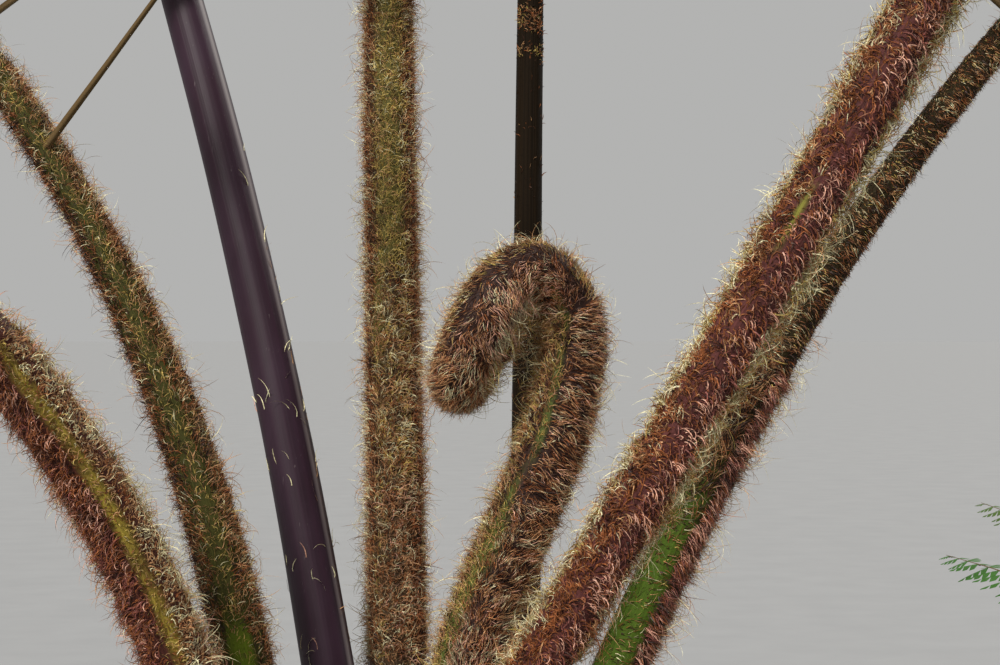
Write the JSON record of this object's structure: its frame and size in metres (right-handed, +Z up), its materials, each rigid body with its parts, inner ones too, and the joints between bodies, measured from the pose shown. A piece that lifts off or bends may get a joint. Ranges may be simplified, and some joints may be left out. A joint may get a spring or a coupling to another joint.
{
  "type": "tree fern",
  "caption": "Rooted tree fern with a fibrous trunk, a full crown of arching fronds on hairy stalks, and a curled young frond in its heart.",
  "frame": {"origin": "middle of the flat cut under the trunk, at ground level", "axes": "+Z up along the trunk, +Y away from the side that the picture looks at, +X to that view's right"},
  "size_m": [3.4942, 3.5916, 2.7323],
  "materials": {
    "trunk_fibre": "rough matted root fibre",
    "hairy_stalk": "curly brown hair over green skin",
    "smooth_stalk": "smooth dark purple-brown skin",
    "crozier_hair": "dense combed hair",
    "frond_leaf": "thin satin leaf"
  },
  "bodies": {
    "root": {"bud_1": "crozier_hair", "bud_2": "crozier_hair", "centre_inner_blade": "frond_leaf", "centre_outer_blade": "frond_leaf", "centre_stalk": "hairy_stalk", "crozier_coil": "crozier_hair", "crozier_stalk": "crozier_hair", "dark_back_inner_blade": "frond_leaf", "dark_back_outer_blade": "frond_leaf", "dark_back_stalk": "smooth_stalk", "dark_left_inner_blade": "frond_leaf", "dark_left_outer_blade": "frond_leaf", "dark_left_stalk": "smooth_stalk", "hanging_1_inner_blade": "frond_leaf", "hanging_1_outer_blade": "frond_leaf", "hanging_1_stalk": "smooth_stalk", "hanging_2_inner_blade": "frond_leaf", "hanging_2_outer_blade": "frond_leaf", "hanging_2_stalk": "smooth_stalk", "hanging_3_inner_blade": "frond_leaf", "hanging_3_outer_blade": "frond_leaf", "hanging_3_stalk": "smooth_stalk", "hanging_4_inner_blade": "frond_leaf", "hanging_4_outer_blade": "frond_leaf", "hanging_4_stalk": "smooth_stalk", "hanging_5_inner_blade": "frond_leaf", "hanging_5_outer_blade": "frond_leaf", "hanging_5_stalk": "smooth_stalk", "hanging_6_inner_blade": "frond_leaf", "hanging_6_outer_blade": "frond_leaf", "hanging_6_stalk": "smooth_stalk", "hanging_7_inner_blade": "frond_leaf", "hanging_7_outer_blade": "frond_leaf", "hanging_7_stalk": "smooth_stalk", "left_front_inner_blade": "frond_leaf", "left_front_outer_blade": "frond_leaf", "left_front_stalk": "hairy_stalk", "left_inner_blade": "frond_leaf", "left_outer_blade": "frond_leaf", "left_stalk": "hairy_stalk", "near_right_inner_blade": "frond_leaf", "near_right_outer_blade": "frond_leaf", "near_right_stalk": "hairy_stalk", "right_front_inner_blade": "frond_leaf", "right_front_outer_blade": "frond_leaf", "right_front_stalk": "hairy_stalk", "right_inner_blade": "frond_leaf", "right_outer_blade": "frond_leaf", "right_stalk": "hairy_stalk", "spread_1_inner_blade": "frond_leaf", "spread_1_outer_blade": "frond_leaf", "spread_1_stalk": "hairy_stalk", "spread_2_inner_blade": "frond_leaf", "spread_2_outer_blade": "frond_leaf", "spread_2_stalk": "hairy_stalk", "spread_3_inner_blade": "frond_leaf", "spread_3_outer_blade": "frond_leaf", "spread_3_stalk": "hairy_stalk", "trunk": "trunk_fibre"}
  },
  "joints": []
}
